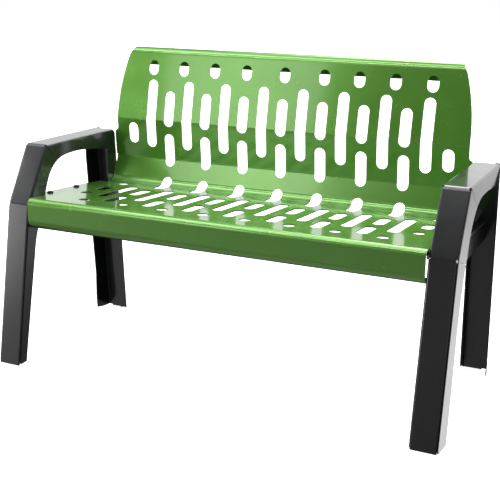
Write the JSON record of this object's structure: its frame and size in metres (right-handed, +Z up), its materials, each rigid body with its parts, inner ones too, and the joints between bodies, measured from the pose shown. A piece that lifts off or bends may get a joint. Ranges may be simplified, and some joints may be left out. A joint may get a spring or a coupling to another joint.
{
  "type": "street bench with backrest",
  "caption": "Outdoor bench with a one-piece folded slotted metal seat and back on two bent channel side frames with armrests.",
  "frame": {"origin": "centre of the bench's footprint box, on the ground", "axes": "+X along the bench's length, +Y from the seat's front towards the backrest, +Z up"},
  "size_m": [1.2552, 0.6008, 0.8404],
  "materials": {
    "green_coat": "glossy green powder coat",
    "charcoal_coat": "glossy charcoal powder coat",
    "dark_fasteners": "blackened steel"
  },
  "bodies": {
    "root": {"seat_and_back_sheet": "green_coat", "left_side_frame": "charcoal_coat", "right_side_frame": "charcoal_coat", "left_seat_rail": "charcoal_coat", "right_seat_rail": "charcoal_coat", "left_front_tab": "charcoal_coat", "right_front_tab": "charcoal_coat", "left_seat_bolts": "dark_fasteners", "right_seat_bolts": "dark_fasteners", "left_seat_washers": "dark_fasteners", "right_seat_washers": "dark_fasteners", "left_seat_nuts": "dark_fasteners", "right_seat_nuts": "dark_fasteners", "left_front_bolt": "dark_fasteners", "right_front_bolt": "dark_fasteners", "left_front_nut": "dark_fasteners", "right_front_nut": "dark_fasteners"}
  },
  "joints": []
}
